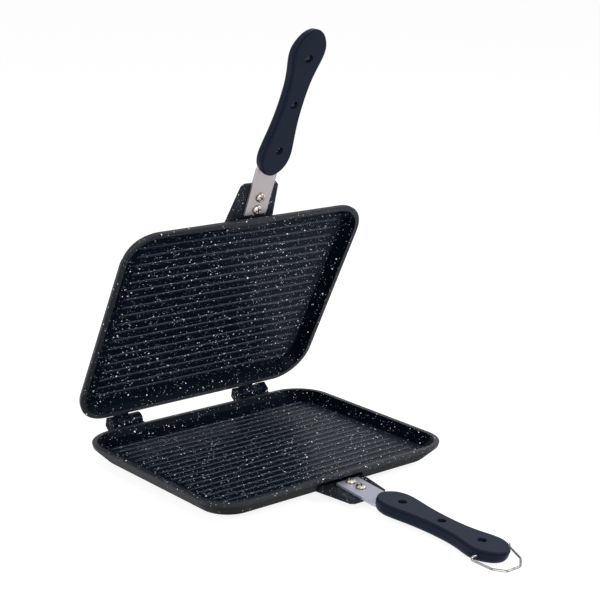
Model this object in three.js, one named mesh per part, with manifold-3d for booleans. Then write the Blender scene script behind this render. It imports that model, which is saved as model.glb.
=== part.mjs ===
// A stovetop sandwich toaster: two ribbed plates on a pair of pin hinges. Each plate has a steel
// tang, a two-piece grip and the screws that hold them, and the lower grip carries a wire hook.
// Millimetres, +Z up. The origin is the middle of the pad under the lower plate, on the surface
// that the toaster stands on. +X runs along the hinges, and the handles point towards -Y.

import * as THREE from "three";
import { mergeVertices } from "three/addons/utils/BufferGeometryUtils.js";
import Module from "manifold-3d";

const wasm = await Module();
wasm.setup();

// Fits
const seatGap = 0.3; // between pieces that touch
const cutOver = 2; // how far a cut runs past the face that it opens

// Plates, both cast alike
const plateWidth = 280;
const plateDepth = 221.6;
const frontCornerRadius = 33; // at the handle
const backCornerRadius = 37; // at the hinges
const outerShrinkShare = 0.55; // of an inset, taken off the corner radius of the outer wall
const leastCornerRadius = 9; // of the rings far in from the edge
const rimWidth = 5.1;
const rimRound = 0.8;
const lipHeight = 4.2;
const lipDraft = 0.7;
const wallHeight = 18; // from the rim to the underside of the wall
const wallFootInset = 17.5; // where the round under the wall ends
const wallRound = 8;
const ledgeInset = 9.3; // the crease half way down the inner wall
const ledgeDepth = 5.3;
const cavityInset = 14.6;
const cavityDepth = 10.3;
const cavityFillet = 1.6;
const floorThickness = 4.5;
const cornerSteps = 7;
const wallRoundSteps = 3;

// Ribs on the cooking face, as many as fit between the gaps at its edges
const ribPitch = 9.8;
const ribEndGap = 6.8; // from the ribs' ends to the fillet round the cooking face
const ribSideGap = 4.6; // least, from the outer ribs to that fillet
const ribHeight = 1.1;
const ribBaseWidth = 2.8;
const ribTopWidth = 1.5;

// Foot under each plate: a ring near its edge, and a pad in the middle
const footDepth = 3.9;
const footInset = 28;
const footWidth = 14;
const footDraft = 1.2;
const padRadius = 30;
const padSides = 40;

// Hinges
const rimGap = 0.6; // between the two rims when shut
const openAngle = THREE.MathUtils.degToRad(63.8); // from shut to the pose shown
const hingeSetback = 10.6; // hinge axis behind the rim's back edge
const hingeSpan = 76.7; // from the plates' middle to the middle of each knuckle
const hingeShift = -6.35; // both knuckles sit a little to the left
const knuckleRadius = 6.2;
const knuckleWidth = 12.5;
const barrelRadius = 7;
const barrelWidth = 14.6;
const earRadius = 8.6; // of the ear, over its corners
const earSides = 6;
const earTurn = THREE.MathUtils.degToRad(10);
const earWidth = 6.2;
const farEarReach = 2.7; // of the right hinge's second ear, past the barrel's end
const hingePlay = 0.4; // at each side of a knuckle
const pinRadius = 2.1;
const pinBlindWall = 1.6; // left at the closed end of the ear
const armRootHeight = 7.8; // of the arm, where it joins the wall
const armRootSink = 1.6; // how far the arm runs into the wall
const barrelSides = 24;

// Boss that carries the tang
const handleOffset = 3.5; // the handles sit a little to the right of the plates' middle
const bossRootHalf = 24.5;
const bossTipHalf = 20.8;
const bossLength = 31.5;
const bossTipRound = 3;
const bossUnderside = 16.4; // below the rim

// Tang: a steel strip from the boss into the grip
const tangWidth = 25.5;
const tangThickness = 2.8;
const tangDrop = 6.8; // its upper face below the rim, at the front wall
const tangSlope = THREE.MathUtils.degToRad(4.69);
const tangStart = 0.4; // its inner end, from the front wall
const tangBendStart = 52;
const tangBendEnd = 66;
const tangTailWidth = 14;
const tangNeckStart = 49;
const tangNeckEnd = 60;

// Grip: an outer body and an inner cover
const gripFaceDrop = 2.53; // its face line below the rim, carried back to the front wall
const gripTilt = THREE.MathUtils.degToRad(1.84);
const gripStart = 45.2;
const gripLength = 150.5;
const gripHalfWidth = 17;
const gripThickness = 12.2;
const gripEndSlant = 4.5; // the underside ends this much before the face
const coverThickness = 2;
const coverRound = 1.3;
const coverRoundShare = 0.3; // place of the point between the ends of the cover's round
const coverStep = 0.6; // the body stands out past the cover by this much
const bodyRound = 5;
const bodyRoundShares = [0.45, 0.12]; // places of the points along the body's round
const tangSeatDepth = 5.6; // the tang's upper face below the grip's face
const coverCoreStart = 62;

// Half-widths along the grip, as shares of its length and of its widest half-width
const gripOutlineShares = [
  [0, 0], [0.004, 0.2], [0.016, 0.42], [0.038, 0.66], [0.07, 0.84], [0.11, 0.945], [0.15, 0.97],
  [0.2, 0.93], [0.26, 0.85], [0.33, 0.76], [0.41, 0.69], [0.5, 0.655], [0.58, 0.66], [0.65, 0.7],
  [0.72, 0.8], [0.78, 0.92], [0.83, 0.99], [0.87, 0.985], [0.91, 0.88], [0.95, 0.68], [0.98, 0.44],
  [0.995, 0.2], [1, 0],
];

// Screws
const tangScrewInset = 6.2; // the inner screw from the front wall
const tangScrewTipInset = 12.3; // the outer screw from the boss's tip
const tangScrewShank = 2.4; // radius
const tangScrewHead = 4.7;
const tangScrewHeadHeight = 2.6;
const tangScrewLength = 7.2;
const gripScrewStartInset = 27.2; // first grip screw from the grip's start
const gripScrewEndInset = 29; // last one from its end
const gripScrewMiddleShare = 0.506; // place of the middle one between them
const gripScrewShank = 2;
const gripScrewHead = 3.6;
const gripScrewHeadHeight = 1.9;
const gripScrewSeat = 4.4; // below the grip's face
const gripScrewEnd = 10.8;
const boreFloor = 0.4; // free depth beyond a screw's end
const panHeadShares = [[1, 0.3], [0.86, 0.685], [0.55, 0.93], [0, 1]]; // of head radius and height
const screwTipShares = [0.6, 0.4]; // radius and height of the tip's taper, of the shank's radius
const crossWidth = 0.9;
const crossReachShare = 0.62;
const crossDepthShare = 0.55;
const screwSides = 20;

// Wire hook
const wireRadius = 1.1;
const hookEndInset = 18.3; // its pivot from the grip's end
const hookTangGap = 4.4; // from the tang's end to the pivot
const hookPivotDepth = 5;
const hookDroop = THREE.MathUtils.degToRad(10.5); // below level
const hookTailReach = 10.2; // inner ends of the wire, from the grip's middle
const hookShoulder = 22.2;
const hookElbowDrop = 2.7;
const hookLegRun = 17.9;
const hookLegEndHalf = 17.2;
const hookSlantRun = 8.4;
const hookBarHalf = 8.1;
const hookTightBend = 1.3;
const hookWideBend = 3;
const wireSteps = 84;
const wireSides = 8;

const standHeight = wallHeight + footDepth;
const frontY = -(hingeSetback + plateDepth);
const plateMiddleY = -(hingeSetback + plateDepth / 2);
const rimZ = -rimGap / 2;
const faceMargin = cavityInset + cavityFillet; // from the rim's edge to the flat of the cooking face
const ribLength = plateWidth - 2 * (faceMargin + ribEndGap);
const ribField = plateDepth - 2 * (faceMargin + ribSideGap) - ribBaseWidth;
const ribCount = Math.floor(ribField / ribPitch) + 1;
const tangScrewPlaces = [tangScrewInset, bossLength - tangScrewTipInset];
const gripEnd = gripStart + gripLength;
const firstGripScrew = gripStart + gripScrewStartInset;
const lastGripScrew = gripEnd - gripScrewEndInset;
const middleGripScrew = firstGripScrew + (lastGripScrew - firstGripScrew) * gripScrewMiddleShare;
const gripScrewPlaces = [firstGripScrew, middleGripScrew, lastGripScrew];
const hookPivotPlace = gripEnd - hookEndInset;
const tangTailEnd = hookPivotPlace - hookTangGap;

const castCoating = { color: 0x1c2029, roughness: 0.55, metalness: 0.25 };
const steel = { color: 0xc4c2c8, roughness: 0.35, metalness: 0.9 };
const brightSteel = { color: 0xd8d6d2, roughness: 0.2, metalness: 1 };
const bakelite = { color: 0x2d303e, roughness: 0.42, metalness: 0 };

// Solids and meshes

function toSolid(geometry) {
  const plain = geometry.clone();
  plain.deleteAttribute("normal");
  plain.deleteAttribute("uv");
  const merged = mergeVertices(plain);
  const mesh = new wasm.Mesh({
    numProp: 3,
    vertProperties: merged.getAttribute("position").array,
    triVerts: new Uint32Array(merged.getIndex().array),
  });
  return new wasm.Manifold(mesh);
}

function toMesh(name, solid, look) {
  const cut = solid.getMesh();
  const geometry = new THREE.BufferGeometry();
  geometry.setAttribute("position", new THREE.BufferAttribute(new Float32Array(cut.vertProperties), 3));
  geometry.setIndex(new THREE.BufferAttribute(new Uint32Array(cut.triVerts), 1));
  geometry.computeVertexNormals();
  const mesh = new THREE.Mesh(geometry, new THREE.MeshStandardMaterial(look));
  mesh.name = name;
  return mesh;
}

function addAll(solid, others) {
  return others.reduce((whole, other) => whole.add(other), solid);
}

function cutAll(solid, others) {
  return others.reduce((whole, other) => whole.subtract(other), solid);
}

// Skins a stack of rings, lowest first, and closes both ends.
function loft(rings) {
  const count = rings[0].length;
  const positions = rings.flat().flatMap((point) => [point.x, point.y, point.z]);
  const faces = [];
  for (let level = 0; level < rings.length - 1; level += 1) {
    for (let index = 0; index < count; index += 1) {
      const here = level * count + index;
      const next = level * count + ((index + 1) % count);
      faces.push(here, next, next + count, here, next + count, here + count);
    }
  }
  const contour = rings[0].map((point) => new THREE.Vector2(point.x, point.y));
  const top = (rings.length - 1) * count;
  for (const [a, b, c] of THREE.ShapeUtils.triangulateShape(contour, [])) {
    faces.push(c, b, a, top + a, top + b, top + c);
  }
  const geometry = new THREE.BufferGeometry();
  geometry.setAttribute("position", new THREE.Float32BufferAttribute(positions, 3));
  geometry.setIndex(faces);
  return geometry;
}

// Extrudes a closed outline given in Y and Z along X.
function extrudeAlongX(outline, fromX, toX) {
  const shape = new THREE.Shape(outline.map(([y, z]) => new THREE.Vector2(y, z)));
  const geometry = new THREE.ExtrudeGeometry(shape, { depth: toX - fromX, bevelEnabled: false });
  const turn = new THREE.Matrix4().makeBasis(
    new THREE.Vector3(0, 1, 0),
    new THREE.Vector3(0, 0, 1),
    new THREE.Vector3(1, 0, 0),
  );
  return geometry.applyMatrix4(turn).translate(fromX, 0, 0);
}

// Extrudes a closed outline given in X and Y upwards.
function extrudeUp(outline, fromZ, toZ) {
  const shape = new THREE.Shape(outline.map(([x, y]) => new THREE.Vector2(x, y)));
  const geometry = new THREE.ExtrudeGeometry(shape, { depth: toZ - fromZ, bevelEnabled: false });
  return geometry.translate(0, 0, fromZ);
}

function rodAlongX(radius, sides, fromX, toX) {
  const rod = new THREE.CylinderGeometry(radius, radius, toX - fromX, sides);
  return rod.rotateZ(Math.PI / 2).translate((fromX + toX) / 2, 0, 0);
}

// A rod on the Z axis between two heights.
function rodAlongZ(radius, sides, fromZ, toZ) {
  const rod = new THREE.CylinderGeometry(radius, radius, toZ - fromZ, sides);
  return rod.rotateX(Math.PI / 2).translate(0, 0, (fromZ + toZ) / 2);
}

function panHeadScrew(name, shank, head, headHeight, length) {
  const [tipShare, taperShare] = screwTipShares;
  const profile = [
    [0, -length],
    [shank * tipShare, -length],
    [shank, -length + shank * taperShare],
    [shank, 0],
    [head, 0],
    ...panHeadShares.map(([across, up]) => [head * across, headHeight * up]),
  ].map(([radius, height]) => new THREE.Vector2(radius, height));
  const blank = new THREE.LatheGeometry(profile, screwSides).rotateX(Math.PI / 2);
  const depth = headHeight * crossDepthShare;
  const reach = head * crossReachShare * 2;
  const lift = headHeight + cutOver / 2 - depth / 2;
  const slots = [[reach, crossWidth], [crossWidth, reach]].map(([x, y]) =>
    toSolid(new THREE.BoxGeometry(x, y, depth + cutOver).translate(0, 0, lift)));
  return toMesh(name, cutAll(toSolid(blank), slots), brightSteel);
}

// Plates

function plateRing(inset, z, shrinkShare = 1) {
  const points = [];
  for (let corner = 0; corner < 4; corner += 1) {
    const edgeRadius = corner < 2 ? backCornerRadius : frontCornerRadius;
    const radius = Math.max(edgeRadius - inset * shrinkShare, leastCornerRadius);
    const middleX = (corner === 0 || corner === 3 ? 1 : -1) * (plateWidth / 2 - inset - radius);
    const middleY = (corner < 2 ? 1 : -1) * (plateDepth / 2 - inset - radius);
    for (let step = 0; step <= cornerSteps; step += 1) {
      const angle = ((corner + step / cornerSteps) * Math.PI) / 2;
      const x = middleX + radius * Math.cos(angle);
      const y = middleY + radius * Math.sin(angle);
      points.push(new THREE.Vector3(x, y + plateMiddleY, z + rimZ));
    }
  }
  return points;
}

// Where the straight outer wall meets the round under it, and the wall's angle there.
function wallTangent() {
  const across = wallFootInset - lipDraft;
  const down = wallHeight - wallRound - lipHeight;
  const reach = Math.hypot(across, down);
  const angle = Math.atan2(down, across) + Math.asin(wallRound / reach);
  return Math.PI / 2 - angle;
}

function plateOuter() {
  const startAngle = wallTangent();
  const rings = [];
  for (let step = 0; step <= wallRoundSteps; step += 1) {
    const angle = (startAngle * step) / wallRoundSteps;
    const inset = wallFootInset - wallRound * Math.sin(angle);
    rings.push(plateRing(inset, -wallHeight + wallRound * (1 - Math.cos(angle)), outerShrinkShare));
  }
  rings.push(plateRing(lipDraft, -lipHeight, outerShrinkShare));
  rings.push(plateRing(0, -rimRound, outerShrinkShare));
  rings.push(plateRing(rimRound, 0, outerShrinkShare));
  return toSolid(loft(rings));
}

function plateCavity() {
  return toSolid(loft([
    plateRing(faceMargin, -cavityDepth),
    plateRing(cavityInset - cavityFillet / 2, -cavityDepth + cavityFillet),
    plateRing(ledgeInset, -ledgeDepth),
    plateRing(rimWidth, 0),
    plateRing(rimWidth, cutOver),
  ]));
}

function plateFoot() {
  const outer = toSolid(loft([
    plateRing(footInset, -wallHeight - footDepth),
    plateRing(footInset - footDraft, -wallHeight),
  ]));
  const ceiling = -cavityDepth - floorThickness;
  const hollow = toSolid(loft([
    plateRing(footInset + footWidth, -wallHeight - footDepth - cutOver),
    plateRing(footInset + footWidth, -wallHeight - footDepth),
    plateRing(footInset + footWidth + footDraft, ceiling),
  ]));
  const pad = rodAlongZ(padRadius, padSides, -wallHeight - footDepth, ceiling + footDraft);
  return { outer, hollow, pad: toSolid(pad.translate(0, plateMiddleY, rimZ)) };
}

function ribs() {
  const floorZ = rimZ - cavityDepth;
  const bars = [];
  for (let index = 0; index < ribCount; index += 1) {
    const y = plateMiddleY + (index - (ribCount - 1) / 2) * ribPitch;
    const outline = [
      [y - ribBaseWidth / 2, floorZ - floorThickness / 2],
      [y + ribBaseWidth / 2, floorZ - floorThickness / 2],
      [y + ribBaseWidth / 2, floorZ],
      [y + ribTopWidth / 2, floorZ + ribHeight],
      [y - ribTopWidth / 2, floorZ + ribHeight],
      [y - ribBaseWidth / 2, floorZ],
    ];
    bars.push(toSolid(extrudeAlongX(outline, -ribLength / 2, ribLength / 2)));
  }
  return bars;
}

// Starts and ends along X of one hinge's knuckle, of the barrel and ears beside it, and of its bore.
function hingeStations(side) {
  const start = side * hingeSpan + hingeShift - knuckleWidth / 2;
  const end = start + knuckleWidth;
  const barrelEnd = end + hingePlay + barrelWidth;
  const ears = [[start - hingePlay - earWidth, start - hingePlay]];
  if (side > 0) ears.push([barrelEnd + farEarReach - earWidth, barrelEnd + farEarReach]);
  return {
    ears,
    knuckle: [start, end],
    barrel: [end + hingePlay, barrelEnd],
    bore: [ears[0][0] + pinBlindWall, ears.length > 1 ? ears[1][1] : barrelEnd],
  };
}

// The arm that joins a hinge barrel of the given radius to the back wall of its plate.
function hingeArm(radius, fromX, toX) {
  const slope = Math.PI / 2 - wallTangent();
  const rootInset = lipDraft + (armRootHeight - lipHeight) / Math.tan(slope);
  const outline = [
    [-hingeSetback - armRootSink, rimZ - rimRound],
    [0, 0],
    [0, -radius],
    [-hingeSetback - rootInset - armRootSink, rimZ - armRootHeight],
  ];
  return toSolid(extrudeAlongX(outline.reverse(), fromX, toX));
}

function hingeParts(half) {
  const parts = [];
  const bores = [];
  for (const side of [-1, 1]) {
    const { ears, knuckle, barrel, bore } = hingeStations(side);
    if (half === "lower") {
      for (const ear of ears) {
        const hexagon = rodAlongX(earRadius, earSides, ...ear).rotateX(earTurn);
        parts.push(toSolid(hexagon), hingeArm(earRadius, ...ear));
      }
      const tube = rodAlongX(barrelRadius, barrelSides, ...barrel);
      parts.push(toSolid(tube), hingeArm(barrelRadius, ...barrel));
      bores.push([bore[0], bore[1] + cutOver]);
    } else {
      const place = [-knuckle[1], -knuckle[0]];
      const tube = rodAlongX(knuckleRadius, barrelSides, ...place);
      parts.push(toSolid(tube), hingeArm(knuckleRadius, ...place));
      bores.push([place[0] - cutOver, place[1] + cutOver]);
    }
  }
  const cuts = bores.map(([from, to]) => toSolid(rodAlongX(pinRadius + seatGap, barrelSides, from, to)));
  return { parts, cuts };
}

function hingePin(name, side) {
  const { bore } = hingeStations(side);
  const pin = rodAlongX(pinRadius, barrelSides, bore[0] + seatGap, bore[1]);
  return toMesh(name, toSolid(pin), steel);
}

// Height of the tang's upper face at a distance from the front wall.
function tangTop(distance) {
  const straight = -tangDrop - distance * Math.tan(tangSlope);
  const seated = -gripFaceDrop - tangSeatDepth - distance * Math.tan(gripTilt);
  if (distance <= tangBendStart) return straight;
  if (distance >= tangBendEnd) return seated;
  const share = (distance - tangBendStart) / (tangBendEnd - tangBendStart);
  const from = -tangDrop - tangBendStart * Math.tan(tangSlope);
  const to = -gripFaceDrop - tangSeatDepth - tangBendEnd * Math.tan(gripTilt);
  return from + (to - from) * share;
}

function boss(handleX) {
  const root = wallFootInset;
  const topAt = (distance) => tangTop(distance) - tangThickness - seatGap;
  const side = extrudeAlongX(
    [
      [root, -bossUnderside],
      [root, topAt(-root)],
      [-bossLength, topAt(bossLength)],
      [-bossLength, -bossUnderside],
    ].reverse(),
    -bossRootHalf - root,
    bossRootHalf + root,
  );
  const flare = (bossRootHalf - bossTipHalf) / bossLength;
  const plan = extrudeUp(
    [
      [bossRootHalf + flare * root, root],
      [-bossRootHalf - flare * root, root],
      [-bossTipHalf - flare * bossTipRound, -bossLength + bossTipRound],
      [-bossTipHalf + bossTipRound, -bossLength],
      [bossTipHalf - bossTipRound, -bossLength],
      [bossTipHalf + flare * bossTipRound, -bossLength + bossTipRound],
    ],
    -bossUnderside - cutOver,
    cutOver,
  );
  const place = (geometry) => toSolid(geometry.translate(handleX, frontY, rimZ));
  return place(side).intersect(place(plan));
}

// A hole square to the tang's sloping part, for one of its screws.
function tangScrewHole(distance, grow, fromZ, toZ) {
  const hole = rodAlongZ(tangScrewShank + grow, screwSides, fromZ, toZ);
  return hole.rotateX(tangSlope).translate(0, -distance, tangTop(distance));
}

function plate(name, half, handleX) {
  const foot = plateFoot();
  const hinge = hingeParts(half);
  const blank = addAll(plateOuter(), [foot.outer, boss(handleX), ...hinge.parts]);
  const screwHoles = tangScrewPlaces.map((distance) => {
    const end = -tangScrewLength - boreFloor;
    const hole = tangScrewHole(distance, seatGap, end, cutOver);
    return toSolid(hole.translate(handleX, frontY, rimZ));
  });
  const hollowed = cutAll(blank, [plateCavity(), foot.hollow, ...hinge.cuts, ...screwHoles]);
  return toMesh(name, addAll(hollowed, [foot.pad, ...ribs()]), castCoating);
}

// Handles. Lengths run from the front wall along -Y, and heights are from the rim.

function tangBlank(grow) {
  const stations = [tangStart - grow, tangBendStart, tangBendEnd, tangTailEnd + grow];
  const upper = stations.map((distance) => [-distance, tangTop(distance) + grow]);
  const lower = stations.map((distance) => [-distance, tangTop(distance) - tangThickness - grow]);
  const reach = tangWidth / 2 + grow;
  const side = extrudeAlongX([...upper, ...lower.reverse()], -reach, reach);
  const tail = tangTailWidth / 2 + grow;
  const plan = extrudeUp(
    [
      [reach, -tangStart + grow],
      [-reach, -tangStart + grow],
      [-reach, -tangNeckStart],
      [-tail, -tangNeckEnd],
      [-tail, -tangTailEnd - grow],
      [tail, -tangTailEnd - grow],
      [tail, -tangNeckEnd],
      [reach, -tangNeckStart],
    ],
    tangTop(tangTailEnd) - gripThickness,
    cutOver,
  );
  return { side, plan };
}

function tang(name) {
  const blank = tangBlank(0);
  const screwHoles = tangScrewPlaces.map((distance) =>
    toSolid(tangScrewHole(distance, seatGap, -tangThickness - cutOver, cutOver)));
  const gripHoles = gripScrewPlaces.map((distance) => {
    const hole = rodAlongZ(gripScrewShank + seatGap, screwSides, -gripThickness, 0);
    return toSolid(hole.translate(0, -distance, 0).applyMatrix4(gripFrame()));
  });
  const solid = toSolid(blank.side).intersect(toSolid(blank.plan));
  return toMesh(name, cutAll(solid, [...screwHoles, ...gripHoles]), steel);
}

// The grip's own frame in the handle's: its face is at zero height.
function gripFrame() {
  return new THREE.Matrix4().makeRotationX(gripTilt).setPosition(0, 0, -gripFaceDrop);
}

function gripOutline(depth) {
  const length = gripLength - (gripEndSlant * depth) / gripThickness;
  const right = gripOutlineShares.map(([along, across]) => {
    const y = -gripStart - along * length;
    return new THREE.Vector2(across * gripHalfWidth, y);
  });
  const left = right.slice(1, -1).reverse().map((point) => new THREE.Vector2(-point.x, point.y));
  return [...right, ...left].reverse();
}

// The grip's outline drawn in by an inset, as a ring at a depth below its face.
function gripRing(inset, depth) {
  const outline = gripOutline(depth);
  return outline.map((point, index) => {
    const before = outline[(index + outline.length - 1) % outline.length];
    const after = outline[(index + 1) % outline.length];
    const along = new THREE.Vector2().subVectors(after, before).normalize();
    return new THREE.Vector3(point.x - along.y * inset, point.y + along.x * inset, -depth);
  });
}

function gripCover(name) {
  const shell = toSolid(loft([
    gripRing(coverStep, coverThickness),
    gripRing(coverStep, coverRound),
    gripRing(coverStep + coverRound * coverRoundShare, coverRound * coverRoundShare),
    gripRing(coverStep + coverRound, 0),
  ]));
  const half = tangTailWidth / 2;
  const coreEnd = tangTailEnd - seatGap;
  const coreOutline = [[half, -coverCoreStart], [-half, -coverCoreStart], [-half, -coreEnd], [half, -coreEnd]];
  const core = extrudeUp(coreOutline, -tangSeatDepth + seatGap, -coverRound);
  const holes = gripScrewPlaces.flatMap((distance) => {
    const wide = rodAlongZ(gripScrewHead + seatGap, screwSides, -gripScrewSeat, cutOver);
    const narrow = rodAlongZ(gripScrewShank + seatGap, screwSides, -tangSeatDepth, cutOver);
    return [wide, narrow].map((hole) => toSolid(hole.translate(0, -distance, 0)));
  });
  return toMesh(name, cutAll(shell.add(toSolid(core)), holes), bakelite);
}

function hookBores() {
  return [-1, 1].map((side) => {
    const from = hookTailReach - seatGap;
    const to = gripHalfWidth + cutOver;
    const bore = rodAlongX(wireRadius + seatGap, wireSides * 2, Math.min(side * from, side * to),
      Math.max(side * from, side * to));
    return toSolid(bore.translate(0, -hookPivotPlace, -hookPivotDepth));
  });
}

function gripBody(name, withHook) {
  const splitDepth = coverThickness + seatGap;
  const [nearer, further] = bodyRoundShares.map((share) => share * bodyRound);
  const blank = toSolid(loft([
    gripRing(bodyRound, gripThickness),
    gripRing(nearer, gripThickness - further),
    gripRing(further, gripThickness - nearer),
    gripRing(0, gripThickness - bodyRound),
    gripRing(0, splitDepth + coverStep / 2),
    gripRing(coverStep / 2, splitDepth),
  ]));
  const half = tangTailWidth / 2 + seatGap;
  const front = -coverCoreStart + seatGap;
  const back = -tangTailEnd - seatGap;
  const pocketFloor = tangSeatDepth + tangThickness + seatGap;
  const pocket = extrudeUp([[half, front], [-half, front], [-half, back], [half, back]], -pocketFloor, 0);
  const toGrip = gripFrame().invert();
  const slot = tangBlank(seatGap);
  const slotSolid = toSolid(slot.side.applyMatrix4(toGrip)).intersect(toSolid(slot.plan.applyMatrix4(toGrip)));
  const holes = gripScrewPlaces.map((distance) => {
    const hole = rodAlongZ(gripScrewShank + seatGap, screwSides, -gripScrewEnd - boreFloor, 0);
    return toSolid(hole.translate(0, -distance, 0));
  });
  const cuts = [toSolid(pocket), slotSolid, ...holes, ...(withHook ? hookBores() : [])];
  return toMesh(name, cutAll(blank, cuts), bakelite);
}

// A path of straight runs whose corners are rounded by the given lengths.
function bentPath(points, bends) {
  const path = new THREE.CurvePath();
  let from = points[0];
  for (let index = 1; index < points.length - 1; index += 1) {
    const corner = points[index];
    const inward = new THREE.Vector3().subVectors(points[index - 1], corner).setLength(bends[index]);
    const onward = new THREE.Vector3().subVectors(points[index + 1], corner).setLength(bends[index]);
    const start = new THREE.Vector3().addVectors(corner, inward);
    const end = new THREE.Vector3().addVectors(corner, onward);
    path.add(new THREE.LineCurve3(from, start));
    path.add(new THREE.QuadraticBezierCurve3(start, corner, end));
    from = end;
  }
  path.add(new THREE.LineCurve3(from, points[points.length - 1]));
  return path;
}

function wireHook(name) {
  const end = -hookLegRun - hookSlantRun;
  const half = [
    [hookTailReach, 0, 0],
    [hookShoulder, 0, 0],
    [hookShoulder, 0, -hookElbowDrop],
    [hookLegEndHalf, -hookLegRun, -hookElbowDrop],
    [hookBarHalf, end, -hookElbowDrop],
  ];
  const right = half.map(([x, y, z]) => new THREE.Vector3(x, y, z));
  const left = half.map(([x, y, z]) => new THREE.Vector3(-x, y, z)).reverse();
  const halfBends = [0, hookTightBend, hookTightBend, hookWideBend, hookWideBend];
  const path = bentPath([...right, ...left], [...halfBends, ...[...halfBends].reverse()]);
  const section = [];
  for (let side = 0; side < wireSides; side += 1) {
    const angle = (side / wireSides) * Math.PI * 2;
    section.push(new THREE.Vector2(wireRadius * Math.cos(angle), wireRadius * Math.sin(angle)));
  }
  const shape = new THREE.Shape(section);
  const wire = new THREE.ExtrudeGeometry(shape, { steps: wireSteps, extrudePath: path });
  return toMesh(name, toSolid(wire), brightSteel);
}

function handle(half) {
  const group = new THREE.Group();
  group.add(tang(`${half}_tang`));
  tangScrewPlaces.forEach((distance, index) => {
    const name = `${half}_tang_screw_${index + 1}`;
    const screw = panHeadScrew(name, tangScrewShank, tangScrewHead, tangScrewHeadHeight, tangScrewLength);
    screw.rotation.x = tangSlope;
    screw.position.set(0, -distance, tangTop(distance) + seatGap);
    group.add(screw);
  });
  const grip = new THREE.Group();
  gripFrame().decompose(grip.position, grip.quaternion, grip.scale);
  grip.add(gripCover(`${half}_grip_cover`));
  grip.add(gripBody(`${half}_grip_body`, half === "lower"));
  gripScrewPlaces.forEach((distance, index) => {
    const name = `${half}_grip_screw_${index + 1}`;
    const length = gripScrewEnd - gripScrewSeat;
    const screw = panHeadScrew(name, gripScrewShank, gripScrewHead, gripScrewHeadHeight, length);
    screw.position.set(0, -distance, -gripScrewSeat + seatGap);
    grip.add(screw);
  });
  if (half === "lower") {
    const hook = wireHook("wire_hook");
    hook.rotation.x = hookDroop - gripTilt;
    hook.position.set(0, -hookPivotPlace, -hookPivotDepth);
    grip.add(hook);
  }
  group.add(grip);
  return group;
}

// One half, with the hinge axis at its origin and its cooking face up.
function makeHalf(half, handleX) {
  const group = new THREE.Group();
  group.add(plate(`${half}_plate`, half, handleX));
  const handleGroup = handle(half);
  handleGroup.position.set(handleX, frontY, rimZ);
  group.add(handleGroup);
  return group;
}

const toaster = new THREE.Group();
const lowerHalf = makeHalf("lower", handleOffset);
lowerHalf.add(hingePin("hinge_pin_left", -1), hingePin("hinge_pin_right", 1));
const upperHalf = makeHalf("upper", -handleOffset);
upperHalf.rotation.set(-openAngle, Math.PI, 0);
for (const half of [lowerHalf, upperHalf]) {
  half.position.set(0, plateDepth / 2 + hingeSetback, standHeight + rimGap / 2);
  toaster.add(half);
}

export default toaster;
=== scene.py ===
import math

import bmesh
import bpy
from mathutils import Matrix, Vector


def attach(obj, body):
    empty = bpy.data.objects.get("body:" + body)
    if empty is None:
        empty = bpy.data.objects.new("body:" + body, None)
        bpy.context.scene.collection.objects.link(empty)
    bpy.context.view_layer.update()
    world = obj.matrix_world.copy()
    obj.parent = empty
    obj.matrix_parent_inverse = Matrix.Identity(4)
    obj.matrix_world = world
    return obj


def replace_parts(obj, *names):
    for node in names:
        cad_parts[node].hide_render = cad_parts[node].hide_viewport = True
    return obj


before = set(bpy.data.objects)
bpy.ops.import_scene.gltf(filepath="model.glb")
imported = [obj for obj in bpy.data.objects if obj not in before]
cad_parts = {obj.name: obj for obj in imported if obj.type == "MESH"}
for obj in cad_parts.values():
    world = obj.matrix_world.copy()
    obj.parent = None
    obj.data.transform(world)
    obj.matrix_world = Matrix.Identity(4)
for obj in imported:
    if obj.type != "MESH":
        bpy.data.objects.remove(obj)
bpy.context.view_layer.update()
print("frame loaded:", len(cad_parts), "nodes")

# Each half is built in millimetres with the hinge axis at its origin and its cooking face up,
# and is then carried to its place in the part, in metres.
mm = 0.001
openAngle = math.radians(63.8)
hingeAxis = Vector((0, 121.4, 22.2))
lowerPlace = Matrix.Scale(mm, 4) @ Matrix.Translation(hingeAxis)
upperPlace = lowerPlace @ Matrix.Rotation(-openAngle, 4, "X") @ Matrix.Rotation(math.pi, 4, "Y")
handleOffset = 3.5  # the handles sit a little to the right of the middle
cutOver = 2  # how far a cut runs past the face that it opens
roundSides = 48  # of a bore, pin or barrel
holeSides = 40  # of a screw hole
halves = {
    "lower": {"place": lowerPlace, "handleX": handleOffset},
    "upper": {"place": upperPlace, "handleX": -handleOffset},
}

# Angles in degrees. The wide limit leaves the facets of a round piece alone.
edgeShape = {"segments": 3, "limit": 30, "wideLimit": 50, "sharp": 32}
mergeReach = 1e-5  # points this close become one
straightTurn = 1e-4  # a path that turns less than this has no corner


# Meshes and booleans

def linked(piece):
    bpy.context.scene.collection.objects.link(piece)
    return piece


def emptyObject(name):
    return linked(bpy.data.objects.new(name, bpy.data.meshes.new(name)))


def meshObject(name, vertices, faces, looks=()):
    piece = emptyObject(name)
    piece.data.from_pydata([tuple(vertex) for vertex in vertices], [], faces)
    for look in looks:
        piece.data.materials.append(look)
    turnOutwards(piece)
    return piece


def turnOutwards(piece):
    shape = bmesh.new()
    shape.from_mesh(piece.data)
    bmesh.ops.remove_doubles(shape, verts=shape.verts, dist=mergeReach)
    bmesh.ops.recalc_face_normals(shape, faces=shape.faces)
    shape.to_mesh(piece.data)
    shape.free()


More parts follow.
